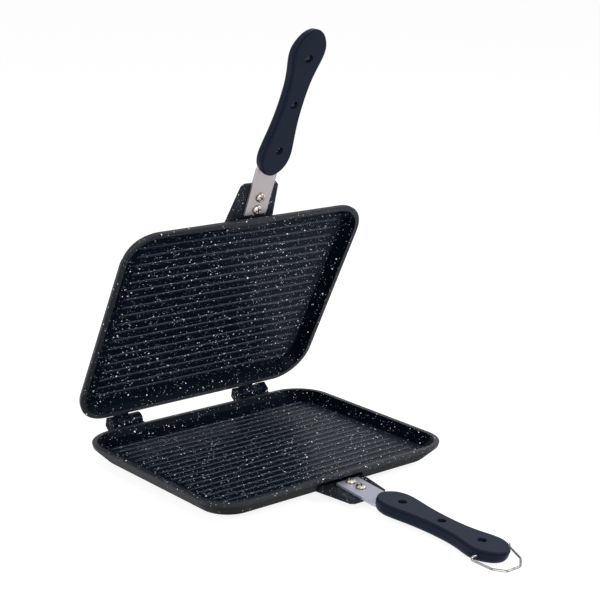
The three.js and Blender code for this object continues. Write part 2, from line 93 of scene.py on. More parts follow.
# A closed skin over rings of equal length. A look can be chosen by band, from the first ring on.
def skinRings(name, rings, looks=(), lookOf=None):
    count = len(rings[0])
    vertices = [point for ring in rings for point in ring]
    faces = []
    bands = []
    for level in range(len(rings) - 1):
        for index in range(count):
            here = level * count + index
            following = level * count + (index + 1) % count
            faces.append((here, following, following + count, here + count))
            bands.append(level)
    top = (len(rings) - 1) * count
    faces.append(tuple(reversed(range(count))))
    bands.append(0)
    faces.append(tuple(range(top, top + count)))
    bands.append(len(rings) - 2)
    piece = meshObject(name, vertices, faces, looks)
    if lookOf:
        for polygon, band in zip(piece.data.polygons, bands):
            polygon.material_index = lookOf(band)
    return piece


def settled(piece):
    bpy.context.view_layer.update()
    graph = bpy.context.evaluated_depsgraph_get()
    mesh = bpy.data.meshes.new_from_object(piece.evaluated_get(graph))
    piece.modifiers.clear()
    piece.data = mesh
    return piece


def discard(piece):
    bpy.data.objects.remove(piece, do_unlink=True)


def combine(piece, others, operation):
    for other in others:
        step = piece.modifiers.new("combine", "BOOLEAN")
        step.operation = operation
        step.solver = "MANIFOLD"
        step.object = other
    settled(piece)
    for other in others:
        discard(other)
    return piece


def softenEdges(piece, width, limit=edgeShape["limit"]):
    bevel = piece.modifiers.new("soften", "BEVEL")
    bevel.width = width
    bevel.segments = edgeShape["segments"]
    bevel.limit_method = "ANGLE"
    bevel.angle_limit = math.radians(limit)
    return settled(piece)


def moved(piece, matrix):
    piece.data.transform(matrix)
    piece.data.update()
    return piece


def finishShape(piece, place, sharp=edgeShape["sharp"]):
    moved(piece, place)
    turnOutwards(piece)
    for polygon in piece.data.polygons:
        polygon.use_smooth = True
    piece.data.set_sharp_from_angle(angle=math.radians(sharp))
    steady = piece.modifiers.new("steady", "WEIGHTED_NORMAL")  # flat faces keep an even shade
    steady.keep_sharp = True
    return settled(piece)


# Rounds the inner corners of a flat path by the given radii.
def roundedPath(points, radii, steps):
    path = [Vector(points[0])]
    for index in range(1, len(points) - 1):
        corner = Vector(points[index])
        inward = (Vector(points[index - 1]) - corner).normalized()
        onward = (Vector(points[index + 1]) - corner).normalized()
        half = inward.angle(onward) / 2
        radius = radii[index]
        if radius <= 0 or abs(half - math.pi / 2) < straightTurn:
            path.append(corner)
            continue
        reach = radius / math.tan(half)
        start, end = corner + inward * reach, corner + onward * reach
        middle = corner + (inward + onward).normalized() * (radius / math.sin(half))
        sweep = (start - middle).angle_signed(end - middle)
        for step in range(steps + 1):
            turn = Matrix.Rotation(-sweep * step / steps, 2)
            path.append(middle + turn @ (start - middle))
    path.append(Vector(points[-1]))
    return path


def circle(radius, sides):
    turns = [2 * math.pi * side / sides for side in range(sides)]
    return [(radius * math.cos(turn), radius * math.sin(turn)) for turn in turns]


def rodAlongX(name, radius, sides, fromX, toX, looks=()):
    rings = [[(x, across, up) for across, up in circle(radius, sides)] for x in (fromX, toX)]
    return skinRings(name, rings, looks)


def rodAlongZ(name, radius, sides, fromZ, toZ, looks=()):
    rod = rodAlongX(name, radius, sides, -toZ, -fromZ, looks)
    return moved(rod, Matrix.Rotation(math.pi / 2, 4, "Y"))


# Spins a profile of radii and heights about the Z axis.
def spun(name, profile, sides, looks=()):
    rings = [[(x, y, height) for x, y in circle(radius, sides)] for radius, height in profile]
    return skinRings(name, rings, looks)


def block(name, halfWidth, lengths, heights, looks):
    near, far = lengths
    corners = ((halfWidth, near), (-halfWidth, near), (-halfWidth, far), (halfWidth, far))
    return skinRings(name, [[(x, y, z) for x, y in corners] for z in heights], looks)


# Node trees

# Links a node's inputs to outputs of other nodes, or sets them to plain values.
def setInputs(tree, node, values):
    for key, value in values.items():
        if isinstance(value, bpy.types.NodeSocket):
            tree.links.new(value, node.inputs[key])
        else:
            node.inputs[key].default_value = value


def addNode(tree, kind, values=None, **settings):
    node = tree.nodes.new(kind)
    for key, value in settings.items():
        setattr(node, key, value)
    setInputs(tree, node, values or {})
    return node


def calculated(tree, operation, *values):
    return addNode(tree, "ShaderNodeMath", dict(enumerate(values)), operation=operation).outputs[0]


def vectorOf(tree, *values):
    return addNode(tree, "ShaderNodeCombineXYZ", dict(enumerate(values))).outputs[0]


def geometryTree(name, inputs, output):
    tree = bpy.data.node_groups.new(name, "GeometryNodeTree")
    keys = {}
    for key, kind in inputs.items():
        socket = tree.interface.new_socket(name=key, in_out="INPUT", socket_type="NodeSocket" + kind)
        keys[key] = socket.identifier
    tree.interface.new_socket(name=output, in_out="OUTPUT", socket_type="NodeSocketGeometry")
    return tree, keys, tree.nodes.new("NodeGroupInput").outputs


# The end of each tree: instances become real, and the mesh gets its material.
def paintedOutput(tree, geometry, look, chosen=True):
    real = addNode(tree, "GeometryNodeRealizeInstances", {"Geometry": geometry})
    painted = addNode(tree, "GeometryNodeSetMaterial", {
        "Geometry": real.outputs["Geometry"], "Selection": chosen, "Material": look})
    addNode(tree, "NodeGroupOutput", {0: painted.outputs["Geometry"]})


def namedAttribute(tree, name, kind):
    node = addNode(tree, "GeometryNodeInputNamedAttribute", {"Name": name}, data_type=kind)
    return node.outputs["Attribute"]


# Runs a tree on a piece and keeps the result as a plain mesh.
def grown(piece, tree, keys, values):
    step = piece.modifiers.new(tree.name, "NODES")
    step.node_group = tree
    for key, value in values.items():
        step[keys[key]] = value
    return settled(piece)


def setPointValues(piece, name, kind, field, values):
    attribute = piece.data.attributes.new(name, kind, "POINT")
    for item, value in zip(attribute.data, values):
        setattr(item, field, value)


# Materials

def newMaterial(name):
    material = bpy.data.materials.new(name)
    material.use_nodes = True
    return material, material.node_tree, material.node_tree.nodes["Principled BSDF"]


def objectPlace(tree):
    return addNode(tree, "ShaderNodeTexCoord").outputs["Object"]


def noise(tree, place, values):
    return addNode(tree, "ShaderNodeTexNoise", {"Vector": place, **values}).outputs["Fac"]


def mixed(tree, factor, first, second):
    values = {"Factor": factor, "A": first, "B": second}
    return addNode(tree, "ShaderNodeMix", values, data_type="RGBA").outputs["Result"]


def remapped(tree, value, values):
    return addNode(tree, "ShaderNodeMapRange", {"Value": value, **values}).outputs["Result"]


# Lets the roughness range about the look's own, and raises the surface along a pattern.
def roughen(tree, shader, look, pattern, height):
    least, most = (look["roughness"] + spread for spread in look["roughSpread"])
    bump = addNode(tree, "ShaderNodeBump", {"Height": height, **look["bump"]})
    setInputs(tree, shader, {
        "Roughness": remapped(tree, pattern, {"To Min": least, "To Max": most}),
        "Normal": bump.outputs["Normal"]})


# A dark coat reflects little, and a thin blue haze lies on it at flat angles.
def setDarkCoat(tree, shader, look):
    setInputs(tree, shader, {
        "IOR": look["ior"], "Specular Tint": look["tint"],
        "Sheen Weight": look["haze"], "Sheen Tint": look["hazeTint"]})


# Cells, radii and distances are in metres.
graniteLook = {
    "base": (0.0016, 0.0029, 0.0071, 1),
    "cloud": (0.0031, 0.0053, 0.0113, 1),
    "paleFleck": (0.9, 0.92, 0.95, 1),
    "dimFleck": (0.06, 0.08, 0.115, 1),
    "roughness": 0.27,
    "roughSpread": (-0.06, 0.1),
    "ior": 1.115,
    "tint": (0.6, 0.76, 1, 1),
    "haze": 0.012,
    "hazeTint": (0.3, 0.45, 1, 1),
    "fleckAmount": 1,
    "leastFleck": 0.45,
    "fleckEdge": 0.04,
    "fleckShift": (0.37, 0.21, 0.13),  # keeps the layers apart
    "fleckLift": 0.5,
    "layers": [
        {"cell": 0.0012, "radius": 0.0004, "share": 0.26, "pale": 0.8},
        {"cell": 0.0019, "radius": 0.0007, "share": 0.105, "pale": 3.6},
        {"cell": 0.0044, "radius": 0.00108, "share": 0.1, "pale": 5},
    ],
    "cloudNoise": {"Scale": 60, "Detail": 4, "Roughness": 0.6},
    "grainNoise": {"Scale": 900, "Detail": 3},
    "bump": {"Strength": 0.5, "Distance": 0.00008},
}

# The ribs carry the plate's own coating, glossier and painted lighter and bluer: painted highlight along the
# rib tops.
ribHighlightLook = {
    **graniteLook,
    "base": (0.006, 0.0082, 0.0142, 1),
    "cloud": (0.009, 0.012, 0.0205, 1),
    "ior": 1.34,
    "tint": (0.68, 0.82, 1, 1),
}

rimLook = {
    **graniteLook,
    "base": (0.0145, 0.0162, 0.0215, 1),
    "cloud": (0.021, 0.023, 0.029, 1),
    "ior": 1.24,
    "tint": (0.8, 0.86, 1, 1),
    "roughness": 0.4,
    "haze": 0,
    "fleckAmount": 0.6,
}

bossLook = {
    **graniteLook,
    "base": (0.0095, 0.0112, 0.0158, 1),
    "cloud": (0.0135, 0.0158, 0.0215, 1),
    "ior": 1.2,
    "roughness": 0.4,
    "haze": 0,
    "fleckAmount": 0.75,
}

# The cavity's inner walls carry the plate's own coating painted darker: painted shade on walls that face away
# from the light.
innerShadeLook = {
    **graniteLook,
    "base": (0.0011, 0.0019, 0.0045, 1),
    "cloud": (0.0021, 0.0035, 0.0074, 1),
    "ior": 1.09,
    "haze": 0.006,
    "fleckAmount": 0.55,
}

# The outer wall has the rim's plainer finish, painted much darker: painted shade on a wall that faces down
# and away from the light.
wallShadeLook = {
    **graniteLook,
    "base": (0.003, 0.0031, 0.004, 1),
    "cloud": (0.0042, 0.0043, 0.0056, 1),
    "ior": 1.06,
    "tint": (0.8, 0.86, 1, 1),
    "roughness": 0.4,
    "haze": 0,
    "fleckAmount": 0.16,
}


# One layer of flecks: where they are, and how pale each one is
def fleckLayer(tree, place, look, layer, index):
    shift = tuple(part * index for part in look["fleckShift"])
    shifted = addNode(tree, "ShaderNodeVectorMath", {0: place, 1: shift}, operation="ADD")
    cells = addNode(tree, "ShaderNodeTexVoronoi", {
        "Vector": shifted.outputs[0], "Scale": 1 / layer["cell"], "Randomness": 1})
    kind = addNode(tree, "ShaderNodeSeparateColor", {"Color": cells.outputs["Color"]})
    limit = layer["share"] * look["fleckAmount"]
    widest = layer["radius"] / layer["cell"]
    size = remapped(tree, kind.outputs["Red"], {
        "From Min": 0, "From Max": limit, "To Min": widest, "To Max": widest * look["leastFleck"]})
    chosen = calculated(tree, "LESS_THAN", kind.outputs["Red"], limit)
    present = calculated(tree, "MULTIPLY", size, chosen)
    edge = calculated(tree, "SUBTRACT", present, cells.outputs["Distance"])
    mask = remapped(tree, edge, {"From Min": 0, "From Max": look["fleckEdge"]})
    return mask, calculated(tree, "MULTIPLY", kind.outputs["Green"], layer["pale"])


# Dark cast coating with pale mineral flecks of three sizes
def graniteMaterial(name, look):
    material, tree, shader = newMaterial(name)
    place = objectPlace(tree)
    colour = mixed(tree, noise(tree, place, look["cloudNoise"]), look["base"], look["cloud"])
    flecks = None
    for index, layer in enumerate(look["layers"]):
        mask, paleness = fleckLayer(tree, place, look, layer, index)
        shade = mixed(tree, paleness, look["dimFleck"], look["paleFleck"])
        colour = mixed(tree, mask, colour, shade)
        flecks = mask if flecks is None else calculated(tree, "MAXIMUM", flecks, mask)
    grain = noise(tree, place, look["grainNoise"])
    height = calculated(tree, "MULTIPLY_ADD", flecks, look["fleckLift"], grain)
    setInputs(tree, shader, {"Base Color": colour})
    roughen(tree, shader, look, grain, height)
    setDarkCoat(tree, shader, look)
    return material


tangLook = {
    "roughness": 0.42,
    "roughSpread": (-0.08, 0.1),
    "metal": 0.85,
    "stretch": (2600, 60, 60),
    "lineNoise": {"Scale": 1, "Detail": 3, "Roughness": 0.6},
    "bump": {"Strength": 0.25, "Distance": 0.00003},
}

# The two tangs are the same steel. Each half's tang gets its own colour, lilac below and pinkish above: a
# painted reflection tint.
tangPaintedTintLooks = {
    "lower": {**tangLook, "colour": (0.47, 0.475, 0.58, 1), "dark": (0.38, 0.385, 0.47, 1)},
    "upper": {**tangLook, "colour": (0.46, 0.42, 0.44, 1), "dark": (0.37, 0.34, 0.355, 1)},
}


# Strip steel, finely brushed along its length
def stripSteel(name, look):
    material, tree, shader = newMaterial(name)
    stretch = addNode(tree, "ShaderNodeMapping", {"Vector": objectPlace(tree), "Scale": look["stretch"]})
    lines = noise(tree, stretch.outputs["Vector"], look["lineNoise"])
    colour = mixed(tree, lines, look["dark"], look["colour"])
    setInputs(tree, shader, {"Base Color": colour, "Metallic": look["metal"]})
    roughen(tree, shader, look, lines, lines)
    return material


# The dark colour, laid in patches by noise over the lighter one, is painted shade.
brightLook = {
    "colour": (0.6, 0.54, 0.48, 1),
    "dark": (0.13, 0.085, 0.06, 1),
    "roughness": 0.2,
    "roughSpread": (0.12, -0.05),
    "shadePatchNoise": {"Scale": 420, "Detail": 4, "Roughness": 0.65},
    "shadePatchRange": {"From Min": 0.3, "From Max": 0.55},
    "bump": {"Strength": 0.2, "Distance": 0.00004},
}
# The screws' cross recess is painted dark: painted shade in the cross.
recessShadeLook = {
    **brightLook,
    "colour": (0.06, 0.048, 0.04, 1),
    "dark": (0.02, 0.016, 0.014, 1),
    "roughness": 0.45,
}
darkLook = {
    **brightLook,
    "colour": (0.1, 0.105, 0.12, 1),
    "dark": (0.03, 0.032, 0.038, 1),
    "roughness": 0.25,
}
wireLook = {
    **brightLook,
    "colour": (0.3, 0.29, 0.28, 1),
    "dark": (0.12, 0.115, 0.11, 1),
    "roughness": 0.16,
}
pinLook = {**brightLook, "roughness": 0.3}


# Plated screws and wire, with painted shade in dark patches laid by noise
def brightSteel(name, look):
    material, tree, shader = newMaterial(name)
    shadePatches = noise(tree, objectPlace(tree), look["shadePatchNoise"])
    colour = mixed(tree, remapped(tree, shadePatches, look["shadePatchRange"]), look["dark"], look["colour"])
    setInputs(tree, shader, {"Base Color": colour, "Metallic": 1})
    roughen(tree, shader, look, shadePatches, shadePatches)
    return material


resinLook = {
    "colour": (0.0072, 0.0106, 0.0186, 1),
    "pale": (0.0102, 0.0146, 0.0248, 1),
    "roughness": 0.36,
    "roughSpread": (-0.05, 0.08),
    "ior": 1.145,
    "tint": (0.5, 0.7, 1, 1),
    "haze": 0.042,
    "hazeTint": (0.2, 0.3, 1, 1),
    "cloudNoise": {"Scale": 70, "Detail": 3},
    "skinNoise": {"Scale": 1500, "Detail": 2},
    "bump": {"Strength": 0.3, "Distance": 0.00003},
}


# Moulded grip resin with a slightly uneven satin skin
def gripResin(name, look):
    material, tree, shader = newMaterial(name)
    place = objectPlace(tree)
    cloud = noise(tree, place, look["cloudNoise"])
    setInputs(tree, shader, {"Base Color": mixed(tree, cloud, look["colour"], look["pale"])})
    roughen(tree, shader, look, cloud, noise(tree, place, look["skinNoise"]))
    setDarkCoat(tree, shader, look)
    return material


coating = graniteMaterial("graniteCoating", graniteLook)
rimPaint = graniteMaterial("rimPaint", rimLook)
ribPaintedHighlightCoating = graniteMaterial("ribPaintedHighlightCoating", ribHighlightLook)
wallPaintedShade = graniteMaterial("wallPaintedShade", wallShadeLook)
innerPaintedShadeCoating = graniteMaterial("innerPaintedShadeCoating", innerShadeLook)
bossCoating = graniteMaterial("bossCoating", bossLook)
tangPaintedTintSteels = {half: stripSteel(half + "TangSteelPaintedTint", look) for half, look in tangPaintedTintLooks.items()}
screwSteel = brightSteel("screwSteel", brightLook)
recessPaintedShadeSteel = brightSteel("recessPaintedShadeSteel", recessShadeLook)
darkSteel = brightSteel("darkSteel", darkLook)
wireSteel = brightSteel("wireSteel", wireLook)
pinSteel = brightSteel("pinSteel", pinLook)
resin = gripResin("gripResin", resinLook)
plateLooks = (coating, rimPaint, ribPaintedHighlightCoating, wallPaintedShade, innerPaintedShadeCoating, bossCoating)
screwLooks = (screwSteel, recessPaintedShadeSteel)
print("materials made")


# Plates

plateSizes = {
    "width": 280,
    "depth": 221.6,
    "frontCornerRadius": 33,  # at the handle
    "backCornerRadius": 37,  # at the hinges
    "cornerSteps": 20,
    "outerShrinkShare": 0.55,
    "leastCornerRadius": 9,
    "rimWidth": 5.1,
    "rimRound": 0.8,
    "rimFillet": 0.4,
    "innerRimRound": 0.7,
    "lipHeight": 4.2,
    "lipDraft": 0.7,
    "lipRound": 1.2,
    "wallHeight": 18,
    "wallFootInset": 17.5,
    "wallRound": 8,
    "ledgeInset": 9.3,
    "ledgeDepth": 5.3,
    "ledgeRound": 3,
    "cavityInset": 14.6,
    "cavityDepth": 10.3,
    "cavityRound": 2.6,
    "floorThickness": 4.5,
    "roundSteps": 6,
    "rimGap": 0.6,
    "hingeSetback": 10.6,
}
rimZ = -plateSizes["rimGap"] / 2
frontY = -(plateSizes["hingeSetback"] + plateSizes["depth"])
plateMiddleY = -(plateSizes["hingeSetback"] + plateSizes["depth"] / 2)


def plateRing(inset, z, shrinkShare=1.0):
    steps = plateSizes["cornerSteps"]
    points = []
    for corner in range(4):
        edgeRadius = plateSizes["backCornerRadius" if corner < 2 else "frontCornerRadius"]
        radius = max(edgeRadius - inset * shrinkShare, plateSizes["leastCornerRadius"])
        middleX = (1 if corner in (0, 3) else -1) * (plateSizes["width"] / 2 - inset - radius)
        middleY = (1 if corner < 2 else -1) * (plateSizes["depth"] / 2 - inset - radius)
        for step in range(steps + 1):
            angle = (corner + step / steps) * math.pi / 2
            x = middleX + radius * math.cos(angle)
            y = middleY + radius * math.sin(angle)
            points.append(Vector((x, y + plateMiddleY, z + rimZ)))
    return points


# The plate's section, from under the wall over the rim to the cavity's floor
def plateShell():
    size = plateSizes
    steps = size["roundSteps"]
    outerPath = roundedPath(
        [(size["wallFootInset"] + size["wallRound"], -size["wallHeight"]),
         (wallCorner(), -size["wallHeight"]),
         (size["lipDraft"], -size["lipHeight"]),
         (0, -size["rimRound"]),
         (size["rimRound"], 0),
         (size["rimWidth"] / 2, 0)],
        [0, size["wallRound"], size["lipRound"], size["rimFillet"], size["rimFillet"], 0], steps)
    innerPath = roundedPath(
        [(size["rimWidth"] / 2, 0),
         (size["rimWidth"], 0),
         (size["ledgeInset"], -size["ledgeDepth"]),
         (size["cavityInset"], -size["cavityDepth"]),
         (size["cavityInset"] + size["cavityRound"] * 2, -size["cavityDepth"])],
        [0, size["innerRimRound"], size["ledgeRound"], size["cavityRound"], 0], steps)
    rings = [plateRing(inset, z, size["outerShrinkShare"]) for inset, z in outerPath[1:]]
    wallEnd = steps * 3 // 2 + 1  # half-way round the lip
    innerStart = len(rings) + steps
    rings += [plateRing(inset, z) for inset, z in innerPath[1:]]
    floorStart = len(rings) - 2

    # The outer wall and the inner walls take the coats that are painted darker as shade.
    def lookOf(band):
        if band < wallEnd:
            return plateLooks.index(wallPaintedShade)
        if band < innerStart:
            return plateLooks.index(rimPaint)
        return plateLooks.index(innerPaintedShadeCoating if band < floorStart else coating)

    return skinRings("plate", rings, plateLooks, lookOf)


# Inset of the corner that the underside and the straight wall would make without their round
def wallCorner():
    across = plateSizes["wallFootInset"] - plateSizes["lipDraft"]
    down = plateSizes["wallHeight"] - plateSizes["wallRound"] - plateSizes["lipHeight"]
    slope = math.atan2(down, across) + math.asin(plateSizes["wallRound"] / math.hypot(across, down))
    return plateSizes["lipDraft"] + (plateSizes["wallHeight"] - plateSizes["lipHeight"]) / math.tan(slope)


def wallInset(depth):
    share = (depth - plateSizes["lipHeight"]) / (plateSizes["wallHeight"] - plateSizes["lipHeight"])
    return plateSizes["lipDraft"] + (wallCorner() - plateSizes["lipDraft"]) * share


footSizes = {
    "depth": 3.9,
    "inset": 28,
    "width": 14,
    "draft": 1.2,
    "padRadius": 30,
    "padSides": 96,
    "edge": 0.6,
}


def footSolids():
    inset, draft, edge = footSizes["inset"], footSizes["draft"], footSizes["edge"]
    inner = inset + footSizes["width"]
    low = -plateSizes["wallHeight"] - footSizes["depth"]
    ceiling = -plateSizes["cavityDepth"] - plateSizes["floorThickness"]
    ring = skinRings("foot", [
        plateRing(inset + edge, low),
        plateRing(inset, low + edge),
        plateRing(inset - draft, -plateSizes["wallHeight"]),
        plateRing(inset - draft, ceiling),
    ], plateLooks)
    hollow = skinRings("hollow", [
        plateRing(inner - edge * 2, low - edge),
        plateRing(inner, low + edge),
        plateRing(inner + draft, ceiling - edge),
        plateRing(inner + draft + edge, ceiling),
    ], plateLooks)
    pad = spun("pad", [
        (footSizes["padRadius"] - edge, low),
        (footSizes["padRadius"], low + edge),
        (footSizes["padRadius"] + draft, ceiling + draft),
    ], footSizes["padSides"], plateLooks)
    return ring, hollow, moved(pad, Matrix.Translation((0, plateMiddleY, rimZ)))


ribSizes = {
    "count": 19,
    "pitch": 9.8,
    "length": 234,
    "baseWidth": 3.2,
    "topWidth": 1.7,
    "height": 1.1,
    "sink": 0.8,
    "round": 0.8,
    "endRun": 3,
}
ribMesh = {"steps": 160, "roundSteps": 4, "leastSwell": 0.12}


# A field of parallel ribs along X, spread along Y about the tree's own origin
def ribTree():
    kinds = {key: "Int" if key == "count" else "Float" for key in ribSizes}
    tree, keys, given = geometryTree("ribField", {**kinds, "look": "Material"}, "ribs")

    def calc(operation, *values):
        return calculated(tree, operation, *values)

    halfLength = calc("MULTIPLY", given["length"], 0.5)
    line = addNode(tree, "GeometryNodeCurvePrimitiveLine", {
        "Start": vectorOf(tree, calc("MULTIPLY", halfLength, -1)), "End": vectorOf(tree, halfLength)})
    resample = addNode(tree, "GeometryNodeResampleCurve", {
        "Curve": line.outputs["Curve"], "Count": ribMesh["steps"]})
    # Each rib runs down into the floor at its ends
    position = addNode(tree, "GeometryNodeInputPosition")
    apart = addNode(tree, "ShaderNodeSeparateXYZ", {0: position.outputs[0]})
    toEnd = calc("SUBTRACT", halfLength, calc("ABSOLUTE", apart.outputs["X"]))
    share = calc("MINIMUM", calc("DIVIDE", toEnd, given["endRun"]), 1)
    swell = calc("POWER", calc("SUBTRACT", 1, calc("POWER", calc("SUBTRACT", 1, share), 2)), 0.5)
    radius = addNode(tree, "GeometryNodeSetCurveRadius", {
        "Curve": resample.outputs["Curve"], "Radius": calc("MAXIMUM", swell, ribMesh["leastSwell"])})
    tall = calc("ADD", given["height"], given["sink"])
    section = addNode(tree, "GeometryNodeCurvePrimitiveQuadrilateral", {
        "Bottom Width": given["baseWidth"], "Top Width": given["topWidth"], "Height": tall, "Offset": 0,
    }, mode="TRAPEZOID")
    rounded = addNode(tree, "GeometryNodeFilletCurve", {
        "Curve": section.outputs["Curve"], "Radius": given["round"], "Count": ribMesh["roundSteps"],
    }, mode="POLY")
    lift = calc("SUBTRACT", calc("MULTIPLY", tall, 0.5), given["sink"])
    lifted = addNode(tree, "GeometryNodeTransform", {
        "Geometry": rounded.outputs["Curve"], "Translation": vectorOf(tree, 0, lift)})
    rib = addNode(tree, "GeometryNodeCurveToMesh", {
        "Curve": radius.outputs["Curve"], "Profile Curve": lifted.outputs["Geometry"],
        "Scale": addNode(tree, "GeometryNodeInputRadius").outputs[0], "Fill Caps": True})
    reach = calc("MULTIPLY", calc("SUBTRACT", given["count"], 1), calc("MULTIPLY", given["pitch"], -0.5))
    row = addNode(tree, "GeometryNodeMeshLine", {
        "Count": given["count"], "Start Location": vectorOf(tree, 0, reach),
        "Offset": vectorOf(tree, 0, given["pitch"])})
    copies = addNode(tree, "GeometryNodeInstanceOnPoints", {
        "Points": row.outputs["Mesh"], "Instance": rib.outputs["Mesh"]})
    paintedOutput(tree, copies.outputs["Instances"], given["look"])
    return tree, keys


ribField, ribKeys = ribTree()


def ribs():
    piece = grown(emptyObject("ribs"), ribField, ribKeys, {**ribSizes, "look": ribPaintedHighlightCoating})
    moved(piece, Matrix.Translation((0, plateMiddleY, rimZ - plateSizes["cavityDepth"])))
    turnOutwards(piece)
    piece.data.materials.clear()
    for look in plateLooks:
        piece.data.materials.append(look)
    # The ribs take the coat that is painted lighter as highlight.
    for polygon in piece.data.polygons:
        polygon.material_index = plateLooks.index(ribPaintedHighlightCoating)
    return piece


hingeSizes = {
    "span": 76.7,
    "shift": -6.35,
    "knuckleRadius": 6.2,
    "knuckleWidth": 12.5,
    "barrelRadius": 7,
    "barrelWidth": 14.6,
    "earRadius": 8.6,  # of the six-sided ear, over its corners
    "earTurn": math.radians(40),
    "earSides": 6,
    "earWidth": 6.2,
    "farEarReach": 2.7,  # of the right hinge's second ear, past the barrel's end
    "play": 0.4,
    "pinRadius": 2.1,
    "pinGap": 0.3,
    "pinBlindWall": 1.6,
    "armRootHeight": 7.8,
    "armRootSink": 1.6,
    "edge": 0.5,
}


# Starts and ends along X of one hinge's knuckle, of the barrel and ears beside it, and of its bore
def hingeStations(side):
    play, earWidth = hingeSizes["play"], hingeSizes["earWidth"]
    knuckleStart = side * hingeSizes["span"] + hingeSizes["shift"] - hingeSizes["knuckleWidth"] / 2
    knuckleEnd = knuckleStart + hingeSizes["knuckleWidth"]
    barrelEnd = knuckleEnd + play + hingeSizes["barrelWidth"]
    ears = [(knuckleStart - play - earWidth, knuckleStart - play)]
    if side > 0:
        farEnd = barrelEnd + hingeSizes["farEarReach"]
        ears.append((farEnd - earWidth, farEnd))
    return {
        "ears": ears,
        "knuckle": (knuckleStart, knuckleEnd),
        "barrel": (knuckleEnd + play, barrelEnd),
        "bore": (ears[0][0] + hingeSizes["pinBlindWall"], max(barrelEnd, ears[-1][1])),
    }


def hingeArm(radius, fromX, toX):
    setback, sink = plateSizes["hingeSetback"], hingeSizes["armRootSink"]
    root = hingeSizes["armRootHeight"]
    outline = [
        (-setback - sink, rimZ - plateSizes["rimRound"]),
        (0, 0),
        (0, -radius),
        (-setback - wallInset(root) - sink, rimZ - root),
    ]
    rings = [[(x, y, z) for y, z in outline] for x in (fromX, toX)]
    return skinRings("arm", rings, plateLooks)


# A hinge barrel or knuckle with softened ends, and its arm
def hingeTube(radius, fromX, toX):
    tube = rodAlongX("tube", radius, roundSides, fromX, toX, plateLooks)
    return [softenEdges(tube, hingeSizes["edge"], edgeShape["wideLimit"]), hingeArm(radius, fromX, toX)]


def hingeEar(fromX, toX):
    ear = rodAlongX("ear", hingeSizes["earRadius"], hingeSizes["earSides"], fromX, toX, plateLooks)
    moved(ear, Matrix.Rotation(hingeSizes["earTurn"], 4, "X"))
    return [softenEdges(ear, hingeSizes["edge"]), hingeArm(hingeSizes["earRadius"], fromX, toX)]


def hingeSolids(half):
    parts, bores = [], []
    for side in (-1, 1):
        stations = hingeStations(side)
        if half == "lower":
            for ear in stations["ears"]:
                parts += hingeEar(*ear)
            parts += hingeTube(hingeSizes["barrelRadius"], *stations["barrel"])
            bores.append((stations["bore"][0], stations["bore"][1] + cutOver))
        else:
            place = (-stations["knuckle"][1], -stations["knuckle"][0])
            parts += hingeTube(hingeSizes["knuckleRadius"], *place)
            bores.append((place[0] - cutOver, place[1] + cutOver))
    boreRadius = hingeSizes["pinRadius"] + hingeSizes["pinGap"]
    return parts, [rodAlongX("bore", boreRadius, roundSides, *bore, plateLooks) for bore in bores]


def hingePin(name, side):
    start, end = hingeStations(side)["bore"]
    pin = rodAlongX(name, hingeSizes["pinRadius"], roundSides, start + hingeSizes["pinGap"], end, (pinSteel,))
    softenEdges(pin, hingeSizes["edge"], edgeShape["wideLimit"])
    finishShape(pin, lowerPlace)
    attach(pin, "lower")
    return pin


bossSizes = {
    "rootHalf": 24.5,
    "tipHalf": 20.8,
    "length": 31.5,
    "tipRound": 3,
    "underside": 16.4,
    "edge": 0.7,
}


def boss(handleX):
    root = plateSizes["wallFootInset"]
    flare = (bossSizes["rootHalf"] - bossSizes["tipHalf"]) / bossSizes["length"]
    tipHalf, length, corner = bossSizes["tipHalf"], bossSizes["length"], bossSizes["tipRound"]
    plan = [
        (bossSizes["rootHalf"] + flare * root, root),
        (-bossSizes["rootHalf"] - flare * root, root),
        (-tipHalf - flare * corner, -length + corner),
        (-tipHalf + corner, -length),
        (tipHalf - corner, -length),
        (tipHalf + flare * corner, -length + corner),
    ]
    heights = (lambda y: -bossSizes["underside"],
               lambda y: tangTop(-y) - tangSizes["thickness"] - tangSizes["gap"])
    rings = [[(x + handleX, y + frontY, height(y) + rimZ) for x, y in plan] for height in heights]
    blank = skinRings("boss", rings, plateLooks, lambda band: plateLooks.index(bossCoating))
    return softenEdges(blank, bossSizes["edge"])


def plate(half):
    shell = plateShell()
    ring, hollow, pad = footSolids()
    hingeParts, bores = hingeSolids(half)
    combine(shell, [ring, boss(halves[half]["handleX"]), *hingeParts], "UNION")
    low = -tangScrews["length"] - tangScrews["endOver"]
    holes = [screwHole(tangScrews, low, cutOver, tangScrewPlace(distance, handleStart(half)), plateLooks)
             for distance in tangScrews["places"]]
    combine(shell, [hollow, *bores, *holes], "DIFFERENCE")
    combine(shell, [pad, ribs()], "UNION")
    shell.name = half + "PlateCasting"
    finishShape(shell, halves[half]["place"])
    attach(shell, half)
    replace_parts(shell, half + "_plate")


# Handles. Lengths run from the front wall along -Y, and heights are from the rim.

def handleStart(half):
    return halves[half]["handleX"], frontY, rimZ


def handlePlace(half):
    return halves[half]["place"] @ Matrix.Translation(handleStart(half))


def atDistance(distance, height=0):
    return Matrix.Translation((0, -distance, height))


tangSizes = {
    "width": 25.5,
    "thickness": 2.8,
    "drop": 6.8,
    "slope": math.radians(4.69),
    "start": 0.4,
    "bendStart": 52,
    "bendEnd": 66,
    "bendSteps": 12,
    "tailWidth": 14,
    "neckStart": 49,
    "neckEnd": 60,
    "tailEnd": 173,
    "edge": 0.45,
    "gap": 0.3,
    "holeEnds": (-6, 4),  # of the cuts for its screws, below and above its top face
}

tangScrews = {
    "places": (6.2, 19.2),
    "shank": 2.4,
    "head": 4.7,
    "headHeight": 2.6,
    "length": 7.2,
    "turns": (18, 52),
    "gap": 0.3,  # round the shank
    "endOver": 0.4,  # from the screw's end to the end of its hole
}


